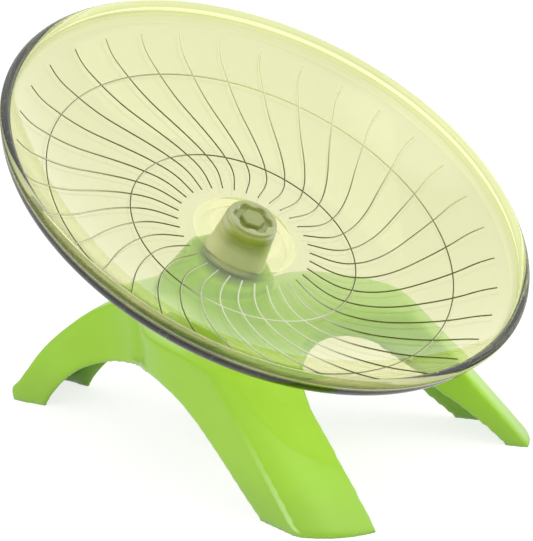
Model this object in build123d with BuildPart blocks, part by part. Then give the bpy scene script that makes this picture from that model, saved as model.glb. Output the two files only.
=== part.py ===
from build123d import *
import os
from math import cos, radians, sin, sqrt, tan

os.makedirs("parts", exist_ok=True)

# A pet's running saucer on a tilted axle, carried by a three-legged stand.
# Millimetres. Z is up, the low side of the saucer faces -Y, and X is the mirror axis of the stand.
# The origin is on the ground, in the middle of the whole object's length and width.

# Where the saucer hangs
saucer_tilt = 32.7
rim_height = 91.8
rim_ahead = 19.12

# Saucer bowl: radii from the spin axis, depths down that axis from the rim's top plane
rim_radius = 91.0
rim_bead_radius = 1.7
rim_lift = 0.6
lip_inset = 6.0
lip_depth = 6.65
bowl_depth = 24.2
floor_radius = 35.0
floor_rise = 0.15
bowl_wall = 2.5

# Raised boss round the hub
boss_radius = 15.0
boss_foot_radius = 17.5
boss_height = 4.25
boss_round = 1.8
boss_foot_round = 2.5
hub_foot_round = 0.9
floor_round = 7.2
floor_start_share = 1.4
under_floor_share = 1.2

# Where the bowl's under face meets the rolled rim, as shares of the bead's radius
bead_heel_share = 0.65
bead_drop_share = 0.47

# Hub of the saucer
hub_top_depth = 16.0
hub_lip_radius = 8.35
hub_lip_height = 1.0
hub_radius = 8.8
hub_shoulder = 0.8
hub_bottom_depth = 33.6
hub_flange_radius = 11.2
hub_flange_thick = 1.3
hub_flange_slope = 1.6

# Six-lobed socket in the top of the hub, and the plug in it
lobe_count = 6
lobe_radius = 2.3
lobe_reach = 6.9
socket_core_radius = 5.7
socket_depth = 2.6
socket_turn = 12.0
cap_gap = 0.1
ledge_width = 0.2
cap_thick = 1.2
plug_width = 7.2
plug_height = 1.7
plug_edge = 0.3

# Ball bearing
bearing_bore_radius = 2.03
bearing_outer_radius = 6.5
bearing_width = 5.0
inner_ring_radius = 3.4
outer_ring_lip_radius = 5.1
ball_radius = 1.0
ball_count = 7
ball_clearance = 0.05
ring_edge = 0.2
shield_thick = 0.3
shield_inset = 0.1
shield_running_gap = 0.1
cage_width = 0.9
cage_start = 0.35
cage_end = 1.7
seat_gap = 0.02

# Screw and washers on the axis
screw_radius = 2.0
screw_length = 16.0
screw_head_radius = 3.5
screw_head_height = 1.7
screw_head_round = 0.5
screw_socket_width = 2.5
screw_socket_depth = 1.0
screw_tip = 0.6
screw_thread_bite = 0.25
head_gap = 0.3
washer_thick = 0.5
washer_radius = 3.3
washer_gap = 0.1

# Retainer, bush and post
retainer_thick = 1.4
retainer_gap = 0.3
bush_length = 3.0
bush_inset = 0.5
post_radius = 5.2
post_running_gap = 0.05
post_edge = 0.5
post_drop = 1.0
screw_boss_radius = 4.4
screw_boss_length = 5.0

# Stand
stand_wall = 2.2
rear_reach = 114.5
toe_reach = 69.1
toe_half_span = 40.6
ankle_reach = 49.0
ankle_half_span = 57.2
crown_drop = 38.8
leg_splay = 14.0
mound_radius = 15.0
mound_gap = 2.4
mound_draft = 13.0
mound_length = 24.0
mound_round = 2.4
crotch_reach = 18.0
knee_reach = 38.0

# Slope of a front leg, its runs along the leg, crowned between its edges
shin_mid_run = 21.1
shin_run = 42.2
shin_mid_share = 0.43
shin_top_share = 0.83
toe_bulge = 4.0
shin_inset_share = 1.55

# Arches between the legs
rear_arch_reach = 99.2
side_arch_reach = 30.8
side_arch_share = 0.6453
front_arch_half_span = 33.0
front_arch_spring_share = 0.3208
front_arch_share = 0.7358
heel_reach = 59.8

# Ribs inside the legs
rib_thick = 1.6
shin_rib_run = 20.0
shin_rib_pitch = 9.0
rear_rib_reach = 84.0
rear_rib_pitch = 22.0
rib_depth = 6.0

# One overrun for every cut
overrun = 60.0

# Stand stations from the rear foot to past the toes: reach share, half-width share, edge and crown height shares.
# Rear reaches follow rear_reach, front ones toe_reach; widths follow ankle_half_span; heights crown_height.
rear_station_shares = (
    (1.0, 0.218, 0.087, 0.095),
    (0.905, 0.218, 0.294, 0.306),
    (0.786, 0.218, 0.528, 0.543),
    (0.664, 0.218, 0.708, 0.728),
    (0.541, 0.224, 0.830, 0.864),
    (0.437, 0.297, 0.868, 0.943),
    (0.332, 0.472, 0.870, 0.990),
    (0.236, 0.629, 0.870, 1.0),
    (0.122, 0.725, 0.870, 0.981),
    (0.017, 0.780, 0.860, 0.934),
)
front_station_shares = (
    (0.174, 0.839, 0.820, 0.890),
    (0.347, 0.892, 0.770, 0.840),
    (0.521, 0.944, 0.730, 0.800),
    (0.781, 1.023, 0.680, 0.750),
    (1.10, 1.119, 0.620, 0.690),
)

# Crown of a toe: share of the way from its outer to its inner corner, share of the bulge
toe_crown_shares = ((-0.12, -0.54), (0.5, 1.0), (1.12, -0.54))

# Lower edge of the side walls: share of the rear or front arch reach, share of the arch height
rear_arch_shares = ((1.0, 0.0), (0.857, 0.401), (0.670, 0.640), (0.539, 0.705), (0.41, 0.81), (0.27, 0.94))
front_arch_shares = ((-0.5, 0.905), (-0.22, 0.81), (0.084, 0.637), (0.396, 0.421), (1.0, 0.0))

# Lower edge of a front leg's inner wall: share of the way from heel to crotch, share of the arch's spring height
inner_arch_shares = ((0.0, 0.0), (0.266, 0.535), (0.624, 1.076), (0.81, 1.29))
inner_wall_reach_share = 1.5

spin_direction = Vector(0, -sin(radians(saucer_tilt)), cos(radians(saucer_tilt)))
rim_centre = Vector(0, -rim_ahead, rim_height)
spin_axis = Axis(rim_centre, spin_direction)
section = Plane(
    origin=rim_centre,
    x_dir=(1, 0, 0),
    z_dir=(0, -cos(radians(saucer_tilt)), -sin(radians(saucer_tilt))),
)


def across_axis(depth):
    """Plane square to the spin axis, at a depth below the rim plane."""
    return Plane(origin=rim_centre - spin_direction * depth, x_dir=(1, 0, 0), z_dir=spin_direction)


# The bowl's curve runs from the floor's edge, level there, up to the lip
lip_radius = rim_radius - lip_inset
bowl_rise = bowl_depth - lip_depth
bowl_curve_radius = ((lip_radius - floor_radius) ** 2 + bowl_rise**2) / (2 * bowl_rise)


def bowl_curve_depth(radius, wall):
    """Depth of the curved part of the bowl at a radius, wall 0 on its inside."""
    centre_depth = bowl_depth - bowl_curve_radius
    return centre_depth + sqrt((bowl_curve_radius + wall) ** 2 - (radius - floor_radius) ** 2)


# Depths of the stack of pieces on the axis, worked out from the top of the hub down
socket_floor_depth = hub_top_depth + socket_depth
head_top_depth = socket_floor_depth + head_gap
head_seat_depth = head_top_depth + screw_head_height
bearing_top_depth = head_seat_depth + washer_thick
bearing_mid_depth = bearing_top_depth + bearing_width / 2
bearing_bottom_depth = bearing_top_depth + bearing_width
retainer_bottom_depth = bearing_bottom_depth + retainer_thick
spigot_top_depth = bearing_bottom_depth + washer_thick
post_top_depth = spigot_top_depth + post_drop
mound_top_depth = hub_bottom_depth + mound_gap
screw_tip_depth = head_seat_depth + screw_length
bush_bottom_depth = hub_bottom_depth - bush_inset
bush_top_depth = bush_bottom_depth - bush_length
ball_pitch_radius = (inner_ring_radius + outer_ring_lip_radius) / 2
bore_radius = bearing_outer_radius + seat_gap
ledge_radius = socket_core_radius - ledge_width

# Saucer: bowl, rolled rim, boss and hub in one moulding
boss_top_depth = bowl_depth - floor_rise - boss_height
bead_place = rim_radius - rim_bead_radius
outer_lip_radius = lip_radius + bowl_wall / 2
floor_edge = (floor_radius, -bowl_depth)
lip_edge = (lip_radius, -bowl_curve_depth(lip_radius, 0))
bowl_mid_radius = (floor_radius + lip_radius) / 2
bead_depth = rim_bead_radius - rim_lift
bead_heel = (rim_radius - bead_heel_share * rim_bead_radius, -bead_depth - bead_drop_share * rim_bead_radius)
outer_lip_edge = (outer_lip_radius, -bowl_curve_depth(outer_lip_radius, bowl_wall))

with BuildPart() as saucer:
    with BuildSketch(section):
        with BuildLine():
            Polyline(
                (0, -hub_top_depth),
                (hub_lip_radius, -hub_top_depth),
                (hub_lip_radius, -hub_top_depth - hub_lip_height),
                (hub_radius, -hub_top_depth - hub_lip_height - hub_shoulder),
            )
            FilletPolyline(
                (hub_radius, -hub_top_depth - hub_lip_height - hub_shoulder),
                (hub_radius, -boss_top_depth),
                (boss_radius - boss_round / 2, -boss_top_depth),
                (boss_foot_radius, -bowl_depth + floor_rise),
                (boss_foot_radius * floor_start_share, -bowl_depth + floor_rise),
                floor_edge,
                radius=[hub_foot_round, boss_round, boss_foot_round, floor_round],
            )
            ThreePointArc(floor_edge, (bowl_mid_radius, -bowl_curve_depth(bowl_mid_radius, 0)), lip_edge)
            Polyline(lip_edge, (bead_place, -bead_depth), bead_heel, outer_lip_edge)
            ThreePointArc(
                outer_lip_edge,
                (bowl_mid_radius, -bowl_curve_depth(bowl_mid_radius, bowl_wall)),
                (floor_radius, -bowl_depth - bowl_wall),
            )
            FilletPolyline(
                (floor_radius, -bowl_depth - bowl_wall),
                (boss_foot_radius * under_floor_share, -bowl_depth + floor_rise - bowl_wall),
                (boss_foot_radius - bowl_wall / 2, -bowl_depth + floor_rise - bowl_wall),
                (boss_radius - bowl_wall, -boss_top_depth - bowl_wall),
                (hub_radius, -boss_top_depth - bowl_wall),
                (hub_radius, -hub_bottom_depth + hub_flange_thick + hub_flange_slope),
                radius=[boss_round, boss_foot_round, hub_foot_round, hub_foot_round],
            )
            Polyline(
                (hub_radius, -hub_bottom_depth + hub_flange_thick + hub_flange_slope),
                (hub_flange_radius, -hub_bottom_depth + hub_flange_thick),
                (hub_flange_radius, -hub_bottom_depth),
                (0, -hub_bottom_depth),
                (0, -hub_top_depth),
            )
        make_face()
        with Locations((bead_place, -bead_depth)):
            Circle(rim_bead_radius)
    revolve(axis=spin_axis)
    # Socket with round lobes, opening at the top
    with BuildSketch(across_axis(hub_top_depth)):
        Circle(socket_core_radius)
        with PolarLocations(lobe_reach - lobe_radius, lobe_count, start_angle=socket_turn):
            Circle(lobe_radius)
    extrude(amount=-socket_depth, mode=Mode.SUBTRACT)
    # Ledge between socket and bearing, then the bearing's bore to the bottom
    with BuildSketch(across_axis(hub_top_depth)):
        Circle(ledge_radius)
    extrude(amount=hub_top_depth - bearing_top_depth, mode=Mode.SUBTRACT)
    with BuildSketch(across_axis(bearing_top_depth)):
        Circle(bore_radius)
    extrude(amount=-overrun, mode=Mode.SUBTRACT)

saucer.part.label = "saucer"
export_step(saucer.part, "parts/saucer.step")

# Plug: a lobed plate on the ledge with a hexagonal head
with BuildPart() as hub_cap:
    with BuildSketch(across_axis(socket_floor_depth)):
        Circle(socket_core_radius - cap_gap)
        with PolarLocations(lobe_reach - lobe_radius, lobe_count, start_angle=socket_turn):
            Circle(lobe_radius - cap_gap)
    extrude(amount=cap_thick)
    with BuildSketch(across_axis(socket_floor_depth - cap_thick)):
        RegularPolygon(plug_width / 2, lobe_count, major_radius=False, rotation=socket_turn)
    extrude(amount=plug_height)
    chamfer(hub_cap.faces().sort_by(spin_axis)[-1].edges(), plug_edge)

hub_cap.part.label = "hub_cap"
export_step(hub_cap.part, "parts/hub_cap.step")


def ring(top_depth, bottom_depth, outer_radius, inner_radius, edge=0):
    """Round ring on the spin axis, its four rims chamfered by edge where that isn't 0."""
    with BuildPart() as round_ring:
        with BuildSketch(across_axis(bottom_depth)):
            Circle(outer_radius)
            Circle(inner_radius, mode=Mode.SUBTRACT)
        extrude(amount=bottom_depth - top_depth)
        if edge:
            chamfer(round_ring.edges().filter_by(GeomType.CIRCLE), edge)
    return round_ring.part


# Bearing rings with their ball races
with BuildPart() as bearing_inner_ring:
    add(ring(bearing_top_depth, bearing_bottom_depth, inner_ring_radius, bearing_bore_radius, ring_edge))
    with BuildSketch(section):
        with Locations((ball_pitch_radius, -bearing_mid_depth)):
            Circle(ball_radius + ball_clearance)
    revolve(axis=spin_axis, mode=Mode.SUBTRACT)

bearing_inner_ring.part.label = "bearing_inner_ring"
export_step(bearing_inner_ring.part, "parts/bearing_inner_ring.step")

with BuildPart() as bearing_outer_ring:
    add(ring(bearing_top_depth, bearing_bottom_depth, bearing_outer_radius, outer_ring_lip_radius, ring_edge))
    with BuildSketch(section):
        with Locations((ball_pitch_radius, -bearing_mid_depth)):
            Circle(ball_radius + ball_clearance)
    revolve(axis=spin_axis, mode=Mode.SUBTRACT)

bearing_outer_ring.part.label = "bearing_outer_ring"
export_step(bearing_outer_ring.part, "parts/bearing_outer_ring.step")

with BuildPart(across_axis(bearing_mid_depth)) as bearing_balls:
    with PolarLocations(ball_pitch_radius, ball_count):
        Sphere(ball_radius)

bearing_balls.part.label = "bearing_balls"
export_step(bearing_balls.part, "parts/bearing_balls.step")

# Crown cage: a ring above the balls with a pocket for each
with BuildPart(across_axis(bearing_mid_depth)) as bearing_cage:
    with BuildSketch(across_axis(bearing_mid_depth - cage_start)):
        Circle(ball_pitch_radius + cage_width / 2)
        Circle(ball_pitch_radius - cage_width / 2, mode=Mode.SUBTRACT)
    extrude(amount=cage_end - cage_start)
    with PolarLocations(ball_pitch_radius, ball_count):
        Sphere(ball_radius + ball_clearance, mode=Mode.SUBTRACT)

bearing_cage.part.label = "bearing_cage"
export_step(bearing_cage.part, "parts/bearing_cage.step")

with BuildPart() as bearing_shield_upper:
    add(
        ring(
            bearing_top_depth + shield_inset,
            bearing_top_depth + shield_inset + shield_thick,
            outer_ring_lip_radius - seat_gap,
            inner_ring_radius + shield_running_gap,
        )
    )

bearing_shield_upper.part.label = "bearing_shield_upper"
export_step(bearing_shield_upper.part, "parts/bearing_shield_upper.step")

with BuildPart() as bearing_shield_lower:
    add(
        ring(
            bearing_bottom_depth - shield_inset - shield_thick,
            bearing_bottom_depth - shield_inset,
            outer_ring_lip_radius - seat_gap,
            inner_ring_radius + shield_running_gap,
        )
    )

bearing_shield_lower.part.label = "bearing_shield_lower"
export_step(bearing_shield_lower.part, "parts/bearing_shield_lower.step")

# Screw down the axis into the post
with BuildPart() as axle_screw:
    with BuildSketch(across_axis(screw_tip_depth)):
        Circle(screw_radius)
    extrude(amount=screw_length)
    chamfer(axle_screw.faces().sort_by(spin_axis)[0].edges(), screw_tip)
    with BuildSketch(across_axis(head_seat_depth)):
        Circle(screw_head_radius)
    extrude(amount=screw_head_height)
    fillet(axle_screw.faces().sort_by(spin_axis)[-1].edges(), screw_head_round)
    with BuildSketch(across_axis(head_top_depth)):
        RegularPolygon(screw_socket_width / 2, lobe_count, major_radius=False)
    extrude(amount=-screw_socket_depth, mode=Mode.SUBTRACT)

axle_screw.part.label = "axle_screw"
export_step(axle_screw.part, "parts/axle_screw.step")

with BuildPart() as screw_washer:
    add(ring(head_seat_depth, bearing_top_depth, washer_radius, screw_radius + washer_gap))

screw_washer.part.label = "screw_washer"
export_step(screw_washer.part, "parts/screw_washer.step")

with BuildPart() as thrust_washer:
    add(ring(bearing_bottom_depth, spigot_top_depth, washer_radius, screw_radius + washer_gap))

thrust_washer.part.label = "thrust_washer"
export_step(thrust_washer.part, "parts/thrust_washer.step")

with BuildPart() as bearing_retainer:
    add(ring(bearing_bottom_depth, retainer_bottom_depth, bearing_outer_radius, post_radius + retainer_gap))

bearing_retainer.part.label = "bearing_retainer"
export_step(bearing_retainer.part, "parts/bearing_retainer.step")

with BuildPart() as hub_bush:
    add(ring(bush_top_depth, bush_bottom_depth, bearing_outer_radius, post_radius + post_running_gap))

hub_bush.part.label = "hub_bush"
export_step(hub_bush.part, "parts/hub_bush.step")


# Stand, drawn by its reach ahead of the rim's centre
def ahead(reach):
    """World Y of a place that far ahead of the rim's centre."""
    return -rim_ahead - reach


side_view = Plane(origin=(0, ahead(0), 0), x_dir=(0, -1, 0), z_dir=(-1, 0, 0))
crown_height = rim_height - crown_drop
shin_mid_height = crown_height * shin_mid_share
shin_height = crown_height * shin_top_share
side_arch_height = crown_height * side_arch_share
front_arch_spring = crown_height * front_arch_spring_share
front_arch_height = crown_height * front_arch_share
toe_length = sqrt((toe_reach - ankle_reach) ** 2 + (ankle_half_span - toe_half_span) ** 2)
toe_normal = Vector((toe_reach - ankle_reach) / toe_length, -(ankle_half_span - toe_half_span) / toe_length, 0)


def cross_section(reach, half_width, edge_height, crown):
    """Flat-sided section of the stand with a crowned top, reaching below the ground by the overrun."""
    with BuildSketch(Plane(origin=(0, ahead(reach), 0), x_dir=(1, 0, 0), z_dir=(0, -1, 0))) as outline:
        with BuildLine():
            Polyline(
                (half_width, edge_height),
                (half_width, -overrun),
                (-half_width, -overrun),
                (-half_width, edge_height),
            )
            ThreePointArc((-half_width, edge_height), (0, crown), (half_width, edge_height))
        make_face()
    return outline.sketch


def shin_cut(side, inset):
    """Everything above the crowned slope of one front leg, side 1 on the right and -1 on the left."""
    inward = Vector(-side * sin(radians(leg_splay)), cos(radians(leg_splay)), 0)
    back = inset * shin_inset_share
    with BuildPart() as above:
        for share, bulge in toe_crown_shares:
            reach = ankle_reach + (toe_reach - ankle_reach) * share
            half_span = ankle_half_span + (toe_half_span - ankle_half_span) * share
            start = back - toe_bulge * bulge
            slope_plane = Plane(
                origin=(side * half_span, ahead(reach), 0),
                x_dir=inward,
                z_dir=inward.cross(Vector(0, 0, 1)),
            )
            with BuildSketch(slope_plane):
                with BuildLine():
                    ThreePointArc((start, 0), (start + shin_mid_run, shin_mid_height), (start + shin_run, shin_height))
                    Polyline(
                        (start + shin_run, shin_height),
                        (start + shin_run, shin_height + overrun),
                        (-overrun, shin_height + overrun),
                        (-overrun, -overrun),
                        (start, -overrun),
                        (start, 0),
                    )
                make_face()
        loft()
    return above.part


def front_gap(inset, top):
    """The space between the front legs, widened by inset, from below the ground up to top."""
    slide = tan(radians(leg_splay))
    widen = inset / cos(radians(leg_splay))
    knee_half_span = toe_half_span - slide * (toe_reach - knee_reach) + widen
    far_half_span = toe_half_span + slide * overrun + widen
    with BuildPart() as gap:
        with BuildSketch(Plane.XY.offset(-overrun)):
            with BuildLine():
                ThreePointArc(
                    (-knee_half_span, ahead(knee_reach)),
                    (0, ahead(crotch_reach - inset)),
                    (knee_half_span, ahead(knee_reach)),
                )
                Polyline(
                    (knee_half_span, ahead(knee_reach)),
                    (far_half_span, ahead(toe_reach + overrun)),
                    (-far_half_span, ahead(toe_reach + overrun)),
                    (-knee_half_span, ahead(knee_reach)),
                )
            make_face()
        extrude(amount=overrun + top)
    return gap.part


def stand_volume(inset):
    """Body and legs as one solid, every face drawn in by inset."""
    with BuildPart() as volume:
        for reach, width, edge, crown in rear_station_shares:
            add(
                cross_section(
                    inset * (reach == 1) - rear_reach * reach,
                    ankle_half_span * width - inset,
                    crown_height * edge - inset,
                    crown_height * crown - inset,
                )
            )
        for reach, width, edge, crown in front_station_shares:
            add(
                cross_section(
                    toe_reach * reach,
                    ankle_half_span * width - inset,
                    crown_height * edge - inset,
                    crown_height * crown - inset,
                )
            )
        loft()
        for side in (1, -1):
            add(shin_cut(side, inset), mode=Mode.SUBTRACT)
        add(front_gap(inset, crown_height + overrun), mode=Mode.SUBTRACT)
    return volume.part


def mound(inset):
    """Boss under the hub, drawn in by inset and widening by its draft."""
    top_radius = mound_radius - inset
    foot_radius = top_radius + mound_length * tan(radians(mound_draft))
    with BuildPart() as boss:
        with BuildSketch(section):
            with BuildLine():
                FilletPolyline(
                    (0, -mound_top_depth - inset),
                    (top_radius, -mound_top_depth - inset),
                    (foot_radius, -mound_top_depth - mound_length),
                    radius=mound_round,
                )
                Polyline(
                    (foot_radius, -mound_top_depth - mound_length),
                    (0, -mound_top_depth - mound_length),
                    (0, -mound_top_depth - inset),
                )
            make_face()
        revolve(axis=spin_axis)
    return boss.part


def shin_ribs():
    """Ribs across each front leg, along its toe line."""
    with BuildPart() as ribs:
        for side in (1, -1):
            for run in (shin_rib_run, shin_rib_run + shin_rib_pitch):
                inward = Vector(-side * toe_normal.X, -toe_normal.Y, 0)
                foot = Vector(side * ankle_half_span, ahead(ankle_reach), 0) + inward * run
                with BuildSketch(Plane(origin=foot, x_dir=(0, 0, 1), z_dir=inward)):
                    Rectangle(crown_height + overrun, toe_length)
                extrude(amount=rib_thick)
    return ribs.part


def rear_ribs():
    """Ribs across the rear leg."""
    with BuildPart() as ribs:
        for reach in (rear_rib_reach, rear_rib_reach - rear_rib_pitch):
            with BuildSketch(Plane(origin=(0, ahead(-reach), 0), x_dir=(1, 0, 0), z_dir=(0, -1, 0))):
                Rectangle(ankle_half_span, crown_height + overrun)
            extrude(amount=rib_thick)
    return ribs.part


def side_arch():
    """The arch between the rear foot and the front feet, cut straight across."""
    rear = [(-rear_arch_reach * reach, side_arch_height * rise) for reach, rise in rear_arch_shares]
    front = [(side_arch_reach * reach, side_arch_height * rise) for reach, rise in front_arch_shares]
    with BuildPart() as arch:
        with BuildSketch(side_view):
            with BuildLine():
                Spline(*(rear + front))
                Polyline(front[-1], (side_arch_reach, -overrun), (-rear_arch_reach, -overrun), rear[0])
            make_face()
        extrude(amount=ankle_half_span + overrun, both=True)
    return arch.part


def front_arch():
    """The arch seen from the front, through the apron between the front legs."""
    with BuildPart() as arch:
        with BuildSketch(Plane(origin=(0, ahead(0), 0), x_dir=(1, 0, 0), z_dir=(0, -1, 0))):
            with BuildLine():
                ThreePointArc(
                    (-front_arch_half_span, front_arch_spring),
                    (0, front_arch_height),
                    (front_arch_half_span, front_arch_spring),
                )
                Polyline(
                    (front_arch_half_span, front_arch_spring),
                    (front_arch_half_span, -overrun),
                    (-front_arch_half_span, -overrun),
                    (-front_arch_half_span, front_arch_spring),
                )
            make_face()
        extrude(amount=knee_reach)
    return arch.part


def inner_arches():
    """The arches along the inner walls of the front legs."""
    span = heel_reach - crotch_reach
    points = [(heel_reach - span * reach, front_arch_spring * rise) for reach, rise in inner_arch_shares]
    with BuildPart() as arches:
        add(front_gap(stand_wall * inner_wall_reach_share, crown_height))
        with BuildSketch(side_view):
            with BuildLine():
                Spline(*points)
                Polyline(points[-1], (points[-1][0], -overrun), (heel_reach, -overrun), points[0])
            make_face()
        extrude(amount=ankle_half_span, both=True, mode=Mode.INTERSECT)
    return arches.part


with BuildPart() as post:
    with BuildSketch(across_axis(mound_top_depth + stand_wall / 2)):
        Circle(post_radius)
    extrude(amount=mound_top_depth + stand_wall / 2 - post_top_depth)
    chamfer(post.faces().sort_by(spin_axis)[-1].edges(), post_edge)

outer_volume = stand_volume(0)
rib_webs = ((shin_ribs() + rear_ribs()) & stand_volume(stand_wall / 2)) - Pos(0, 0, -rib_depth) * outer_volume

with BuildPart() as stand:
    add(outer_volume)
    add(mound(0))
    add(stand_volume(stand_wall), mode=Mode.SUBTRACT)
    add(rib_webs)
    add(mound(stand_wall), mode=Mode.SUBTRACT)
    add(side_arch(), mode=Mode.SUBTRACT)
    add(front_arch(), mode=Mode.SUBTRACT)
    add(inner_arches(), mode=Mode.SUBTRACT)
    with BuildSketch(Plane.XY):
        Rectangle(ankle_half_span * 2 + overrun, rear_reach * 2 + overrun)
    extrude(amount=-overrun * 2, mode=Mode.SUBTRACT)
    # Post and the boss below it for the screw
    add(post.part)
    with BuildSketch(across_axis(mound_top_depth + screw_boss_length)):
        Circle(screw_boss_radius)
    extrude(amount=screw_boss_length)
    with BuildSketch(across_axis(post_top_depth)):
        Circle(washer_radius)
    extrude(amount=post_top_depth - spigot_top_depth)
    with BuildSketch(across_axis(spigot_top_depth)):
        Circle(screw_radius - screw_thread_bite)
    extrude(amount=spigot_top_depth - screw_tip_depth - screw_tip, mode=Mode.SUBTRACT)

stand.part.label = "stand"
export_step(stand.part, "parts/stand.step")
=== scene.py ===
import math

import bmesh
import bpy
import numpy as np
from mathutils import Matrix, Vector


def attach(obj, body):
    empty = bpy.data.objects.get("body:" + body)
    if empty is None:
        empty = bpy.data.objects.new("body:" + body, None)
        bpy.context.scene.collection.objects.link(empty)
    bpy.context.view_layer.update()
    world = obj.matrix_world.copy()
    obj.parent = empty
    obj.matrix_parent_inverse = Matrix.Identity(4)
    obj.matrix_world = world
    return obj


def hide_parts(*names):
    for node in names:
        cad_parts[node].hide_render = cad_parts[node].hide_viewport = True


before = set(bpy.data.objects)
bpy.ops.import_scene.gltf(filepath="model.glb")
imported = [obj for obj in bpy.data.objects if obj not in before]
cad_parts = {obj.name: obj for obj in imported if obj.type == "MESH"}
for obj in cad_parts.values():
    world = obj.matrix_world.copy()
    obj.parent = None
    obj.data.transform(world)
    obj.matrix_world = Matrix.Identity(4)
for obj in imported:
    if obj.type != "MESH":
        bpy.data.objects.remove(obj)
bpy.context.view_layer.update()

mm = 0.001

# Where the saucer hangs: its own Z is the spin axis, its own zero the middle of the rim's top plane
tilt = math.radians(32.7)
rim_centre = Vector((0.0, -19.12, 91.8)) * mm
saucer_place = Matrix.Translation(rim_centre) @ Matrix.Rotation(tilt, 4, "X")

# The directions of the picture, worked out from the ellipse of the rim and the places of the feet
view_forward = Vector((0.7256, 0.6155, -0.3074)).normalized()
view_right = Vector((0.6308, -0.7735, -0.0598)).normalized()
view_up = view_right.cross(view_forward).normalized()

# Saucer, in millimetres: radii from the spin axis, depths below the rim's top plane
rim_radius = 91.0
rim_lift = 0.6
bead_radius = 1.7
bead_start = math.radians(222.0)
bead_end = math.radians(-58.0)
lip_radius = 87.4
outer_lip = 87.0
bowl_curve = 80.0
bowl_depth = 24.2
bowl_wall = 2.5
floor_radius = 35.0
floor_rise = 0.15
flat_radius = 24.5
flat_radius_under = 23.9
boss_radius = 15.0
boss_foot = 17.5
boss_top_depth = 19.8
turn_segments = 240

# Inside this radius the underside has rows this short, so that its finish changes in the right place
short_rows_reach = 24.0
short_row = 0.3

# Hub, in the same measures; shell_overlap is how far the shell's inner edge is sunk into the hub
hub_top_depth = 16.0
hub_top_radius = 7.6
hub_edge_round = 0.25
hub_lip = 8.35
hub_radius = 8.8
hub_bottom_depth = 33.6
shell_overlap = 0.1
flange_radius = 11.2
flange_edge = flange_radius - 0.2
flange_slope_depth = 31.4
flange_edge_depth = 32.6
lobe_reach = 6.9
lobe_radius = 2.3
lobe_count = 6
lobe_turn = math.radians(12.0)
socket_core = 5.7
socket_floor_depth = 18.6
bearing_top_depth = 21.1
ledge_radius = 5.5
bore_radius = 6.52

# Where one finish of the saucer's shell meets the next: the boss's is narrower on the underside
rolled_rim_start = rim_radius - 2 * bead_radius + 0.2
clear_boss_reach = boss_foot + 0.6
clear_boss_reach_under = boss_foot - 1.4
underside_depth = bowl_depth + 1.0

# Running lines in the bowl: radius in millimetres, twist in degrees from the inner end
groove_count = 34
groove_start = 72.5
groove_course = (
    (23.0, 0.5), (23.5, 0.35), (25.5, -0.37), (28.5, -1.27), (30.8, -1.45), (33.0, -1.2), (36.0, -0.27),
    (39.0, 1.5), (43.0, 3.75), (49.0, 7.9), (55.0, 12.1), (61.0, 16.0), (67.0, 18.9), (73.0, 21.2),
    (77.0, 22.7), (80.5, 23.3), (82.9, 23.3),
)
ring_radii = {"Inner": 39.3, "Outer": 70.6}
ring_points = 204
line_half_width = 0.26

# Values that several finishes and the surroundings share
plastic_ior = 1.49
bright_side = (view_forward * 0.8 + view_right * 0.5).normalized()
bright_side_shade = {"edge": 0.3, "full": 0.8, "low": 0.75, "high": 1.0}
white = (1.0, 1.0, 1.0)


class Value:
    """One output of a node: Python's operators add the Math nodes."""

    def __init__(self, nodes, socket):
        self.nodes = nodes
        self.socket = socket

    def _math(self, operation, *values):
        return self.nodes.node("ShaderNodeMath", {"operation": operation}, dict(enumerate(values)))

    def __add__(self, other):
        return self._math("ADD", self, other)

    def __radd__(self, other):
        return self._math("ADD", other, self)

    def __sub__(self, other):
        return self._math("SUBTRACT", self, other)

    def __rsub__(self, other):
        return self._math("SUBTRACT", other, self)

    def __mul__(self, other):
        return self._math("MULTIPLY", self, other)

    def __truediv__(self, other):
        return self._math("DIVIDE", self, other)

    def __rtruediv__(self, other):
        return self._math("DIVIDE", other, self)

    def __abs__(self):
        return self._math("ABSOLUTE", self)

    def root(self):
        return self._math("SQRT", self)

    def at_least(self, other):
        return self._math("MAXIMUM", self, other)

    def at_most(self, other):
        return self._math("MINIMUM", self, other)


class Nodes:
    """One tree of nodes, which are added one at a time."""

    def __init__(self, tree):
        self.tree = tree
        tree.nodes.clear()

    def fill(self, socket, value):
        """Links a value to a socket, or sets the socket to a plain value."""
        if isinstance(value, Value):
            self.tree.links.new(value.socket, socket)
        elif isinstance(value, tuple) and socket.type == "RGBA":
            socket.default_value = (*value, 1.0)
        else:
            socket.default_value = value

    def node(self, kind, settings=None, values=None, out=0):
        """Adds one node: its settings first, then the values of its sockets. Gives the output asked for."""
        made = self.tree.nodes.new(kind)
        for key, value in (settings or {}).items():
            setattr(made, key, value)
        for key, value in (values or {}).items():
            self.fill(made.inputs[key], value)
        return Value(self, made.outputs[out]) if made.outputs else None

    def outputs(self, kind, values=None):
        """Adds one node and gives all its outputs by name."""
        sockets = self.node(kind, None, values).socket.node.outputs
        return {socket.name: Value(self, socket) for socket in sockets}

    def split(self, vector):
        """The three parts of a vector."""
        return self.outputs("ShaderNodeSeparateXYZ", {0: vector}).values()

    def along(self, vector, way):
        """How far a vector goes along a fixed direction."""
        return self.node("ShaderNodeVectorMath", {"operation": "DOT_PRODUCT"}, {0: vector, 1: tuple(way)},
                         out="Value")

    def smooth_step(self, value, start, full, low=0.0, high=1.0):
        """Low where the value is under start, high where it is over full, with a soft change between."""
        return self.node("ShaderNodeMapRange", {"interpolation_type": "SMOOTHSTEP"},
                         {"Value": value, "From Min": start, "From Max": full, "To Min": low, "To Max": high})

    def shade_towards(self, direction, middle, edge, full, low, high):
        """High round a middle direction, easing to low where the cosine between the two falls to edge."""
        return self.smooth_step(self.along(direction, middle), edge, full, low, high)

    def mix_shader(self, share, first, second):
        return self.node("ShaderNodeMixShader", None, {0: share, 1: first, 2: second})


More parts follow.
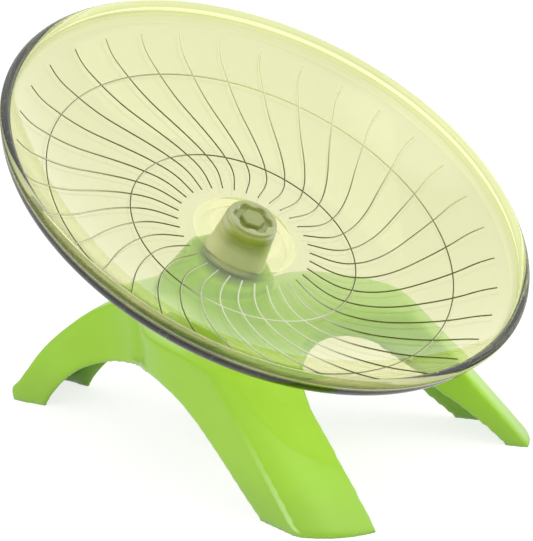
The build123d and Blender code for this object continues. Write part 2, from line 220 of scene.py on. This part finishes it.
class Finish(Nodes):
    """A material and the nodes that make it."""

    def __init__(self, name):
        self.material = bpy.data.materials.new(name)
        self.material.use_nodes = True
        super().__init__(self.material.node_tree)

    def show(self, shader):
        self.node("ShaderNodeOutputMaterial", None, {"Surface": shader})
        return self.material

    def place(self):
        """The place on the piece, in metres."""
        return self.node("ShaderNodeTexCoord", out="Object")

    def outward(self):
        """The direction that the surface faces."""
        return self.node("ShaderNodeNewGeometry", out="Normal")

    def noise(self, scale, detail=3.0):
        """Noise over the piece, from 0 to 1, scale in bumps per metre."""
        return self.node("ShaderNodeTexNoise", None,
                         {"Vector": self.place(), "Scale": scale, "Detail": detail})

    def bump(self, height, strength, distance):
        return self.node("ShaderNodeBump", None,
                         {"Height": height, "Strength": strength, "Distance": distance})

    def mix_colour(self, share, first, second):
        return self.node("ShaderNodeMix", {"data_type": "RGBA"}, {0: share, 6: first, 7: second}, out=2)

    def ramp(self, share, stops):
        """Colour by share, between stops that are each a share and a colour."""
        made = self.node("ShaderNodeValToRGB", None, {"Fac": share})
        elements = made.socket.node.color_ramp.elements
        while len(elements) > 1:
            elements.remove(elements[-1])
        for index, (place, colour) in enumerate(stops):
            stop = elements.new(place) if index else elements[0]
            stop.position = place
            stop.color = (*colour, 1.0)
        return made

    def surface(self, values):
        return self.node("ShaderNodeBsdfPrincipled", None, values)

    def unbent(self, colour):
        """Tinted and see-through, without bending what is behind."""
        return self.node("ShaderNodeBsdfTransparent", None, {"Color": colour})

    def see_through(self, clear, plain):
        """Shadows and soft light pass plainly, and straight sight that is in the wall leaves it unbent."""
        rays = self.outputs("ShaderNodeLightPath")
        in_wall = self.node("ShaderNodeNewGeometry", out="Backfacing")
        leaving = self.unbent((0.90, 0.905, 0.66))
        seen = self.mix_shader(rays["Is Camera Ray"] * in_wall, clear, leaving)
        return self.mix_shader(rays["Is Shadow Ray"] + rays["Is Diffuse Ray"], seen, plain)

    def radius_and_depth(self):
        """Distance from the spin axis and depth below the rim's plane, both in millimetres."""
        turned = self.node("ShaderNodeMapping", {"vector_type": "TEXTURE"}, {
            "Vector": self.place(), "Location": tuple(rim_centre), "Rotation": (tilt, 0.0, 0.0)})
        across, along, up = self.split(turned)
        return (across * across + along * along).root() / mm, up / -mm


def bowl_curve_depth(radius, wall):
    """Depth of the bowl's curve at a radius, on its inside or that wall further down."""
    return bowl_depth - bowl_curve + math.sqrt((bowl_curve + wall) ** 2 - (radius - floor_radius) ** 2)


def curve_point(start, corner, end, share):
    """Point on a smooth curve that leaves its start, and reaches its end, in line with a corner."""
    return start.lerp(corner, share).lerp(corner.lerp(end, share), share)


def rounded_line(corners, steps=5):
    """Points along straight runs whose inner corners, given as radius, depth, round, are rounded."""
    most_of_run = 0.49
    points = [Vector(corners[0][:2])]
    for before, corner, after in zip(corners, corners[1:], corners[2:]):
        here, back, on = Vector(corner[:2]), Vector(before[:2]), Vector(after[:2])
        one, two = (back - here).normalized(), (on - here).normalized()
        half = one.angle(two) / 2
        shorter_run = min((back - here).length, (on - here).length)
        cut = min(corner[2] / math.tan(half), shorter_run * most_of_run)
        start, end = here + one * cut, here + two * cut
        points += [curve_point(start, here, end, step / steps) for step in range(steps + 1)]
    points.append(Vector(corners[-1][:2]))
    return points


def lobed_radius(angle):
    """Radius of the six-lobed socket at an angle about the spin axis."""
    pitch = 2 * math.pi / lobe_count
    off = (angle - lobe_turn + pitch / 2) % pitch - pitch / 2
    centre = lobe_reach - lobe_radius
    side = centre * math.sin(off)
    lobe = centre * math.cos(off) + math.sqrt(max(lobe_radius ** 2 - side ** 2, 0.0))
    if abs(side) > lobe_radius:
        lobe = 0.0
    blend = 0.35
    swell = blend * math.log(math.exp(socket_core / blend) + math.exp(lobe / blend))
    return swell - blend * math.log(2) * math.exp(-abs(socket_core - lobe) / blend)


def turned_mesh(name, rows, zone=None):
    """A closed shell turned about the spin axis: each row is a radius, or a rule for it, and a depth.

    The rule zone gives the number of the finish at a radius and depth.
    """
    form = bmesh.new()
    rings = []
    for radius, depth in rows:
        ring = []
        for index in range(turn_segments):
            angle = 2 * math.pi * index / turn_segments
            reach = radius(angle) if callable(radius) else radius
            ring.append(form.verts.new(
                saucer_place @ (Vector((reach * math.cos(angle), reach * math.sin(angle), -depth)) * mm)))
        rings.append(ring)
    for one, two, rows_here in zip(rings, rings[1:] + rings[:1], zip(rows, rows[1:] + rows[:1])):
        for index in range(turn_segments):
            following = (index + 1) % turn_segments
            face = form.faces.new((one[index], one[following], two[following], two[index]))
            face.smooth = True
            if zone:
                face.material_index = zone(*max(rows_here))
    bmesh.ops.recalc_face_normals(form, faces=form.faces)
    mesh = bpy.data.meshes.new(name)
    form.to_mesh(mesh)
    form.free()
    return mesh


def new_piece(name, mesh, materials, body, replaced=None):
    """Puts a finished mesh in the scene with its materials, body and slot."""
    piece = bpy.data.objects.new(name, mesh)
    bpy.context.scene.collection.objects.link(piece)
    if len(materials) == 1:
        mesh.materials.clear()
    for material in materials:
        mesh.materials.append(material)
    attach(piece, body)
    if replaced:
        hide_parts(replaced)


def clear_saucer_plastic():
    """Clear moulding with a pale yellow-olive tint, a trace deeper close to the rim."""
    finish = Finish("clear saucer plastic")
    radius = finish.radius_and_depth()[0]
    dish_tint = (0.74, 0.75, 0.42)
    edge_tint = tuple(part * 0.97 for part in dish_tint)
    tint = finish.ramp(radius / rim_radius, ((0.0, dish_tint), (0.9, dish_tint), (1.0, edge_tint)))
    ripple = finish.bump(finish.noise(9.0, 2.0), 0.04, 0.002)
    glass = finish.surface({
        "Base Color": tint, "Roughness": 0.03, "IOR": plastic_ior, "Normal": ripple,
        "Transmission Weight": 1.0})
    return finish.show(finish.see_through(glass, finish.unbent((0.96, 0.97, 0.88))))


def clear_rim_plastic():
    """The rolled rim, with painted light and shade: painted bright yellow-green where it faces the light,
    painted deep grey-olive on its other side.
    """
    finish = Finish("clear rim plastic")
    # Painted light and painted shade: bright on the rim's side and half towards lit_way, dark grey-olive
    # elsewhere
    lit_way = (view_right + view_up).normalized()
    facing = finish.along(finish.outward(), lit_way)
    across = finish.along(finish.place(), lit_way)
    towards_light = ((across - rim_centre.dot(lit_way)) / (rim_radius * mm)).at_least(0.0)
    side = finish.smooth_step(facing + towards_light * 1.6, -0.55, 0.35)
    painted_light = finish.mix_colour(finish.noise(60.0, 2.0), (0.76, 0.81, 0.36), (0.83, 0.87, 0.43))
    tint = finish.mix_colour(side, (0.23, 0.245, 0.13), painted_light)
    glass = finish.surface({
        "Base Color": tint, "Roughness": 0.06, "IOR": plastic_ior, "Transmission Weight": 1.0})
    return finish.show(finish.see_through(glass, finish.unbent((0.93, 0.94, 0.80))))


def clear_boss_plastic():
    """The same moulding close to the hub, with a faint haze that is stronger on the boss's slopes."""
    finish = Finish("clear boss plastic")
    spin_axis = Vector((0.0, -math.sin(tilt), math.cos(tilt)))
    lean = finish.along(finish.outward(), spin_axis)
    slope = 1.0 - lean * lean
    milky = finish.mix_colour(finish.noise(220.0, 2.0), (0.80, 0.81, 0.55), (0.90, 0.91, 0.72))
    haze = finish.surface({"Base Color": milky, "Roughness": 0.12, "IOR": plastic_ior})
    return finish.show(finish.mix_shader(0.11 + slope * 0.16, finish.unbent((0.92, 0.925, 0.69)), haze))


def frosted_hub_plastic():
    """The same moulding where it is thick round the bearing: milky olive, greener lower down."""
    finish = Finish("frosted hub plastic")
    depth = finish.radius_and_depth()[1]
    cloud = finish.noise(160.0)
    fade_length = 8.0
    tint = finish.ramp((depth - hub_top_depth) / fade_length + cloud * 0.2, (
        (0.0, (0.33, 0.38, 0.11)), (0.12, (0.48, 0.53, 0.19)), (0.3, (0.50, 0.56, 0.13)),
        (0.6, (0.33, 0.43, 0.012)), (1.0, (0.40, 0.46, 0.05))))
    # Painted highlights pale both flanks of the thick wall, and a thin painted shadow darkens the flange at
    # its foot
    flank = finish.along(finish.outward(), view_right)
    pale = finish.smooth_step(flank * flank, 0.2, 0.85, 0.0, 0.9)
    tint = finish.mix_colour(pale, tint, (0.93, 0.94, 0.78))
    # Painted shadow: a thin dark line at the flange's foot
    foot_gap = depth - (hub_bottom_depth - 0.6)
    painted_foot_shadow = finish.smooth_step(foot_gap * foot_gap, 0.15, 0.9, 0.75, 0.0)
    tint = finish.mix_colour(painted_foot_shadow, tint, (0.10, 0.11, 0.05))
    return finish.show(finish.surface({
        "Base Color": tint, "Roughness": 0.28 + cloud * 0.1, "IOR": plastic_ior, "Transmission Weight": 0.3,
        "Coat Weight": 0.45, "Coat Roughness": 0.14}))


def running_line_plastic():
    """The fine raised lines, with painted light and shade: one flank painted dark olive as shade, the other
    painted pale as a highlight, painted paler towards the dish's far side.
    """
    finish = Finish("running line plastic")
    # Painted shade and painted highlight: the flank facing away from view_right is dark olive, the flank
    # facing it pale
    side = finish.smooth_step(finish.along(finish.outward(), view_right), 0.4, 0.85)
    near = finish.mix_colour(side, (0.05, 0.048, 0.008), (0.80, 0.82, 0.55))
    faded = finish.mix_colour(side, (0.76, 0.80, 0.36), (0.98, 0.99, 0.80))
    place = finish.place()
    # Painted highlight: fade paints the lines paler towards the dish's far side
    far_side = (view_right * 0.45 + view_up * 0.9).normalized()
    middle = rim_centre.dot(far_side)
    fade = finish.smooth_step(finish.along(place, far_side), middle + 0.004, middle + 0.034, 0.0, 0.92)
    colour = finish.mix_colour(fade + finish.noise(400.0) * 0.15, near, faded)
    # Painted highlight: over the stand's mound the lines are painted pale, as they look against the lime
    over_mound = saucer_place @ (Vector((-24.0, -34.0, -bowl_depth)) * mm)
    gap = finish.node("ShaderNodeVectorMath", {"operation": "DISTANCE"}, {0: place, 1: tuple(over_mound)},
                      out="Value")
    painted_light = finish.smooth_step(gap, 0.016, 0.034, 0.75, 0.0)
    colour = finish.mix_colour(painted_light, colour, (0.88, 0.92, 0.72))
    return finish.show(finish.surface({"Base Color": colour, "Roughness": 0.4, "IOR": 1.2}))


def lime_plastic():
    """Translucent lime moulding of the stand: even, soft and satin, a little deeper towards the feet, with a
    painted highlight down the front legs' creases.
    """
    finish = Finish("lime stand plastic")
    cloud = finish.noise(35.0, 4.0)
    colour = finish.mix_colour(cloud, (0.31, 0.61, 0.013), (0.37, 0.68, 0.022))
    _, back, height = finish.split(finish.place())
    low = finish.smooth_step(height + cloud * 0.006, 0.004, 0.022, 0.8, 0.0)
    colour = finish.mix_colour(low, colour, (0.29, 0.54, 0.035))
    # Painted highlight along the long crease down each front leg, which faces mostly sideways and a little up
    face_x, face_y, face_z = finish.split(finish.outward())
    painted_glint = finish.smooth_step(abs(face_x) * 0.966 - face_y * 0.034 + face_z * 0.256, 0.965, 0.995, 0.0, 0.7)
    ahead = finish.smooth_step(back * -1.0, 0.035, 0.075)
    colour = finish.mix_colour(painted_glint * ahead, colour, (0.66, 0.93, 0.38))
    grain = finish.bump(finish.noise(900.0, 2.0), 0.05, 0.0005)
    return finish.show(finish.surface({
        "Base Color": colour, "Roughness": 0.32 + cloud * 0.08, "IOR": plastic_ior, "Normal": grain,
        "Coat Weight": 0.35, "Coat Roughness": 0.1}))


def cap_plastic():
    """Clear olive plug in the hub's socket."""
    finish = Finish("hub plug plastic")
    colour = finish.mix_colour(finish.noise(300.0), (0.23, 0.27, 0.06), (0.32, 0.36, 0.10))
    return finish.show(finish.surface({"Base Color": colour, "Roughness": 0.12, "IOR": plastic_ior}))


def metal(name, colour, roughness):
    """Ground or plated metal with a fine grain."""
    finish = Finish(name)
    grain = finish.noise(2500.0, 2.0)
    return finish.show(finish.surface({
        "Base Color": finish.mix_colour(grain, colour, tuple(part * 0.85 for part in colour)),
        "Metallic": 1.0, "Roughness": roughness + grain * 0.1}))


def acetal():
    """Natural white acetal of the bush and retainer."""
    finish = Finish("acetal")
    colour = finish.mix_colour(finish.noise(700.0, 2.0), (0.82, 0.82, 0.78), (0.88, 0.88, 0.85))
    return finish.show(finish.surface({"Base Color": colour, "Roughness": 0.45}))


def bead_point(turn):
    """Radius and depth of a point on the rolled rim's round section."""
    return (rim_radius - bead_radius + bead_radius * math.cos(turn),
            bead_radius - rim_lift - bead_radius * math.sin(turn))


def lip_run(radius, wall, turn, steps=8):
    """Points from the edge of the bowl's curve, which they leave smoothly, up to the rolled rim."""
    start = Vector((radius, bowl_curve_depth(radius, wall)))
    end = Vector(bead_point(turn))
    beyond = radius - floor_radius
    slope = Vector((math.sqrt((bowl_curve + wall) ** 2 - beyond ** 2), -beyond)).normalized()
    corner = start + slope * (end - start).length / 2
    return [tuple(curve_point(start, corner, end, step / steps)) for step in range(steps)]


def saucer_zone(radius, depth):
    """Finish by place: 0 on the boss, 1 on the bowl, 2 on the rolled rim."""
    if radius > rolled_rim_start:
        return 2
    return int(radius > (clear_boss_reach_under if depth > underside_depth else clear_boss_reach))


def saucer_rows():
    """The saucer's closed profile, from beside the hub over the top, round the rim and back underneath."""
    floor_depth = bowl_depth - floor_rise
    shell_edge = hub_radius - shell_overlap
    rows = [tuple(point) for point in rounded_line([
        (shell_edge, boss_top_depth, 0), (boss_radius - 0.9, boss_top_depth, 2.2),
        (boss_foot, floor_depth, 3.0), (flat_radius, floor_depth, 7.2), (floor_radius, bowl_depth, 0)])]
    bowl_steps = 40
    for step in range(1, bowl_steps):
        radius = floor_radius + (lip_radius - floor_radius) * step / bowl_steps
        rows.append((radius, bowl_curve_depth(radius, 0.0)))
    rows += lip_run(lip_radius, 0.0, bead_start)
    bead_steps = 22
    for step in range(bead_steps + 1):
        rows.append(bead_point(bead_start + (bead_end - bead_start) * step / bead_steps))
    rows += lip_run(outer_lip, bowl_wall, bead_end)[::-1]
    for step in range(1, bowl_steps):
        radius = outer_lip - (outer_lip - floor_radius) * step / bowl_steps
        rows.append((radius, bowl_curve_depth(radius, bowl_wall)))
    under = rounded_line([
        (floor_radius, bowl_depth + bowl_wall, 0), (flat_radius_under, floor_depth + bowl_wall, 1.0),
        (boss_foot - bowl_wall / 2, floor_depth + bowl_wall, 2.5),
        (boss_radius - bowl_wall, boss_top_depth + bowl_wall, 0.9),
        (shell_edge, boss_top_depth + bowl_wall, 0)])
    for before, point in zip(under, under[1:]):
        parts = 1
        if point.x < short_rows_reach:
            parts = max(int(abs(point.x - before.x) / short_row), 1)
        rows += [tuple(before.lerp(point, part / parts)) for part in range(parts)]
    rows.append(tuple(under[-1]))
    return rows


def hub_rows():
    """The hub's closed profile: socket, top, outside, flange and bore."""
    socket_rows = [
        (ledge_radius, socket_floor_depth), (lobed_radius, socket_floor_depth - 0.02),
        (lobed_radius, hub_top_depth + hub_edge_round),
        (lambda angle: lobed_radius(angle) + 0.08, hub_top_depth + 0.06),
        (lambda angle: lobed_radius(angle) + hub_edge_round, hub_top_depth)]
    outside = rounded_line([
        (hub_top_radius, hub_top_depth, 0), (hub_lip, hub_top_depth, hub_edge_round),
        (hub_lip, hub_top_depth + 1.0, 0.3), (hub_radius, hub_top_depth + 1.8, 0.6),
        (hub_radius + 0.3, boss_top_depth + 1.0, 2.0),
        (flange_radius - 1.0, flange_slope_depth, 2.0), (flange_edge, flange_edge_depth, 0.6),
        (flange_edge, hub_bottom_depth, 0.5), (bore_radius, hub_bottom_depth, 0.3),
        (bore_radius, bearing_top_depth, 0.02), (ledge_radius, bearing_top_depth, 0.02),
        (ledge_radius, bearing_top_depth - 0.5, 0)])
    return socket_rows + [tuple(point) for point in outside]


def smooth_result(source, name):
    """The mesh that an object's modifiers make, shaded smooth; the object itself goes."""
    mesh = bpy.data.meshes.new_from_object(source.evaluated_get(bpy.context.evaluated_depsgraph_get()))
    bpy.data.objects.remove(source)
    mesh.name = name
    for face in mesh.polygons:
        face.use_smooth = True
    return mesh


def running_face_depth(radius):
    """Depth of the bowl's running face, from the flat ring round the boss outwards."""
    if radius > floor_radius:
        return bowl_curve_depth(radius, 0.0)
    return bowl_depth - floor_rise * (1 - max(radius - flat_radius, 0) / (floor_radius - flat_radius))


def one_running_line():
    """The middle of one running line, as a curve about the spin axis."""
    line = bpy.data.curves.new("one running line", "CURVE")
    line.dimensions = "3D"
    spline = line.splines.new("NURBS")
    spline.points.add(len(groove_course) - 1)
    for point, (radius, twist) in zip(spline.points, groove_course):
        angle = math.radians(groove_start + twist)
        point.co = (radius * math.cos(angle) * mm, radius * math.sin(angle) * mm,
                    -running_face_depth(radius) * mm, 1.0)
    spline.order_u = 3
    spline.use_endpoint_u = True
    spline.resolution_u = 6
    source = bpy.data.objects.new("one running line", line)
    bpy.context.scene.collection.objects.link(source)
    return source


def running_lines(material):
    """Curved lines and two rings on the running face, repeated about the spin axis."""
    values = {"Line count": groove_count, "Line half width": line_half_width * mm}
    for which, radius in ring_radii.items():
        values[which + " ring radius"] = radius * mm
        values[which + " ring depth"] = -running_face_depth(radius) * mm
    tree = bpy.data.node_groups.new("running lines", "GeometryNodeTree")
    tree.interface.new_socket("Geometry", in_out="INPUT", socket_type="NodeSocketGeometry")
    inputs = {}
    for name, value in values.items():
        kind = "NodeSocketInt" if isinstance(value, int) else "NodeSocketFloat"
        inputs[name] = tree.interface.new_socket(name, in_out="INPUT", socket_type=kind)
    tree.interface.new_socket("Geometry", in_out="OUTPUT", socket_type="NodeSocketGeometry")

    made = Nodes(tree)
    given = made.outputs("NodeGroupInput")
    outline = made.node("GeometryNodeCurvePrimitiveCircle", {"mode": "RADIUS"},
                        {"Resolution": 6, "Radius": given["Line half width"]})
    stroke = made.node("GeometryNodeCurveToMesh", None,
                       {"Curve": given["Geometry"], "Profile Curve": outline, "Fill Caps": True})
    turn = made.node("GeometryNodeInputIndex") * (2 * math.pi / given["Line count"])
    turns = made.node("ShaderNodeCombineXYZ", None, {"Z": turn})
    spots = made.node("GeometryNodeMeshLine", None, {"Count": given["Line count"], "Offset": (0.0, 0.0, 0.0)})
    strokes = made.node("GeometryNodeInstanceOnPoints", None,
                        {"Points": spots, "Instance": stroke, "Rotation": turns})
    joined = made.node("GeometryNodeJoinGeometry", None, {0: strokes})
    for which in ring_radii:
        circle = made.node("GeometryNodeCurvePrimitiveCircle", {"mode": "RADIUS"},
                           {"Resolution": ring_points, "Radius": given[which + " ring radius"]})
        ring = made.node("GeometryNodeCurveToMesh", None, {"Curve": circle, "Profile Curve": outline})
        drop = made.node("ShaderNodeCombineXYZ", None, {"Z": given[which + " ring depth"]})
        sunk = made.node("GeometryNodeTransform", None, {"Geometry": ring, "Translation": drop})
        made.fill(joined.socket.node.inputs[0], sunk)
    placed = made.node("GeometryNodeTransform", None, {
        "Geometry": joined, "Translation": tuple(rim_centre), "Rotation": (tilt, 0.0, 0.0)})
    whole = made.node("GeometryNodeRealizeInstances", None, {"Geometry": placed})
    dressed = made.node("GeometryNodeSetMaterial", None, {"Geometry": whole, "Material": material})
    made.node("NodeGroupOutput", None, {0: dressed})

    source = one_running_line()
    repeat = source.modifiers.new("running lines", "NODES")
    repeat.node_group = tree
    for name, value in values.items():
        repeat[inputs[name].identifier] = value
    return smooth_result(source, "running_lines")


def eased(mesh, even_rounds, soft_rounds):
    """Evens out a mesh without shrinking it, then softens its edges. What is on the ground stays there."""
    pull, push = 0.5, -0.52
    ground_height = 0.3 * mm
    count = len(mesh.vertices)
    places = np.empty(count * 3)
    mesh.vertices.foreach_get("co", places)
    places = places.reshape(-1, 3)
    ends = np.empty(len(mesh.edges) * 2, dtype=np.int64)
    mesh.edges.foreach_get("vertices", ends)
    one, two = ends.reshape(-1, 2).T
    shared = np.maximum(np.bincount(ends, minlength=count), 1)
    grounded = places[:, 2] < ground_height
    lowest, highest = places.min(axis=0), places.max(axis=0)
    for step in [pull, push] * even_rounds + [pull] * soft_rounds:
        level = places[grounded, 2].copy()
        for axis in range(3):
            here = places[:, axis]
            total = np.bincount(one, here[two], count) + np.bincount(two, here[one], count)
            places[:, axis] = here + step * (total / shared - here)
        places[grounded, 2] = level
    places = np.clip(places, lowest, highest)
    mesh.vertices.foreach_set("co", places.ravel())
    mesh.update()


def softened_copy(node_name, name, fineness, even_rounds, soft_rounds):
    """A copy of a CAD node's mesh with its edges rounded as a moulding's are."""
    weld_gap = 0.00001
    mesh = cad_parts[node_name].data.copy()
    form = bmesh.new()
    form.from_mesh(mesh)
    bmesh.ops.remove_doubles(form, verts=form.verts, dist=weld_gap)
    form.to_mesh(mesh)
    form.free()
    blank = bpy.data.objects.new("moulding blank", mesh)
    bpy.context.scene.collection.objects.link(blank)
    remesh = blank.modifiers.new("even skin", "REMESH")
    remesh.mode = "SHARP"
    remesh.octree_depth = fineness
    remesh.scale = 0.9
    soft = smooth_result(blank, name)
    eased(soft, even_rounds, soft_rounds)
    return soft


# Saucer and its running lines
shell_finishes = (clear_boss_plastic(), clear_saucer_plastic(), clear_rim_plastic())
new_piece("saucer_shell", turned_mesh("saucer_shell", saucer_rows(), saucer_zone), shell_finishes,
          "saucer", "saucer")
new_piece("saucer_hub", turned_mesh("saucer_hub", hub_rows()), (frosted_hub_plastic(),),
          "saucer", "saucer")
line_plastic = running_line_plastic()
new_piece("running_lines", running_lines(line_plastic), (line_plastic,), "saucer")

# Stand
stand_moulding = softened_copy("stand", "stand_moulding", fineness=8, even_rounds=50, soft_rounds=14)
new_piece("stand_moulding", stand_moulding, (lime_plastic(),), "stand", "stand")

# Pieces carried over from the CAD
zinc = metal("zinc plated steel", (0.62, 0.63, 0.64), 0.3)
ground = metal("ground bearing steel", (0.68, 0.69, 0.70), 0.22)
polished = metal("polished ball steel", (0.80, 0.81, 0.82), 0.05)
brass = metal("cage brass", (0.74, 0.58, 0.27), 0.25)
white_acetal = acetal()
carried = {
    "hub_cap": cap_plastic(),
    "axle_screw": zinc,
    "screw_washer": zinc,
    "thrust_washer": zinc,
    "bearing_inner_ring": ground,
    "bearing_outer_ring": ground,
    "bearing_shield_upper": ground,
    "bearing_shield_lower": ground,
    "bearing_balls": polished,
    "bearing_cage": brass,
    "bearing_retainer": white_acetal,
    "hub_bush": white_acetal,
}
for node_name, material in carried.items():
    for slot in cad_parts[node_name].material_slots:
        slot.material = material


def floor_finish():
    """Floor that is white to the camera but for a faint shadow, and softly shaded where bent or mirrored."""
    own_light = 0.6
    extra_glow = 0.29
    finish = Finish("pale floor")
    rays = finish.outputs("ShaderNodeLightPath")
    seen = rays["Is Camera Ray"]
    offset = finish.node("ShaderNodeVectorMath", {"operation": "SUBTRACT"},
                         {0: finish.place(), 1: tuple(rim_centre)})
    away = finish.node("ShaderNodeVectorMath", {"operation": "NORMALIZE"}, {0: offset})
    shade = finish.shade_towards(away, bright_side, **bright_side_shade)
    glow = finish.node("ShaderNodeEmission", None, {
        "Color": finish.mix_colour(seen + shade * (1.0 - seen), (0.0, 0.0, 0.0), white),
        "Strength": 1.0 + seen * extra_glow})
    pale = finish.node("ShaderNodeBsdfDiffuse", None, {"Color": (0.9, 0.9, 0.9)})
    share = (seen * own_light + rays["Is Glossy Ray"] + rays["Is Transmission Ray"]).at_most(1.0)
    return finish.show(finish.mix_shader(share, pale, glow))


def make_floor():
    """Large flat floor under the feet."""
    reach = 6.0
    corners = [(-reach, -reach, 0), (reach, -reach, 0), (reach, reach, 0), (-reach, reach, 0)]
    mesh = bpy.data.meshes.new("floor")
    mesh.from_pydata(corners, [], [(0, 1, 2, 3)])
    mesh.materials.append(floor_finish())
    floor = bpy.data.objects.new("floor", mesh)
    bpy.context.scene.collection.objects.link(floor)


def make_world():
    """White surroundings: plain to the camera, softly shaded where they are bent or mirrored."""
    world = bpy.data.worlds.new("studio")
    bpy.context.scene.world = world
    world.use_nodes = True
    soft_light = 0.62
    sky = Nodes(world.node_tree)
    rays = sky.outputs("ShaderNodeLightPath")
    straight, glossy = rays["Is Camera Ray"], rays["Is Glossy Ray"]
    direction = sky.node("ShaderNodeTexCoord")
    bent = sky.shade_towards(direction, bright_side, **bright_side_shade)
    broad_middle = Vector((0.5, -0.3, 0.8)).normalized()
    broad = sky.shade_towards(direction, broad_middle, edge=-0.2, full=0.6, low=0.4, high=1.75)
    spot_middle = Vector((-0.37, -0.2, 0.88)).normalized()
    spot = sky.shade_towards(direction, spot_middle, edge=0.9, full=0.985, low=0.0, high=0.8)
    shaded = sky.node("ShaderNodeMix", None, {0: glossy, 2: bent, 3: broad + spot})
    shown = sky.node("ShaderNodeBackground", None, {"Color": white, "Strength": shaded.at_least(straight)})
    light = sky.node("ShaderNodeBackground", None, {"Color": white, "Strength": soft_light})
    share = (straight + glossy + rays["Is Transmission Ray"]).at_most(1.0)
    sky.node("ShaderNodeOutputWorld", None, {"Surface": sky.mix_shader(share, light, shown)})


def soft_lamp(name, place, size, power):
    """Square soft lamp aimed at the middle of the object."""
    aim = Vector((0.0, 0.0, 0.07))
    lamp = bpy.data.lights.new(name, "AREA")
    lamp.size = size
    lamp.energy = power
    holder = bpy.data.objects.new(name, lamp)
    holder.location = place
    holder.visible_glossy = False
    holder.rotation_euler = (aim - Vector(place)).to_track_quat("-Z", "Y").to_euler()
    bpy.context.scene.collection.objects.link(holder)


make_floor()
make_world()
soft_lamp("key lamp", (0.35, -0.75, 1.0), 1.5, 8.0)
soft_lamp("side lamp", (-1.0, 0.25, 0.7), 1.3, 5.0)

# Camera
camera = bpy.data.objects.new("camera", bpy.data.cameras.new("camera"))
bpy.context.scene.collection.objects.link(camera)
camera.data.sensor_fit = "HORIZONTAL"
camera.data.sensor_width = 36.0
camera.data.lens = 202.6
camera.data.clip_start = 0.05
camera.data.clip_end = 50.0
camera.data.dof.use_dof = False
camera_place = Vector((-0.7060, -0.61352, 0.3602))
camera_turn = Matrix((view_right, view_up, -view_forward)).transposed().to_4x4()
camera.matrix_world = Matrix.Translation(camera_place) @ camera_turn
bpy.context.scene.camera = camera
bpy.context.scene.view_settings.view_transform = "Standard"
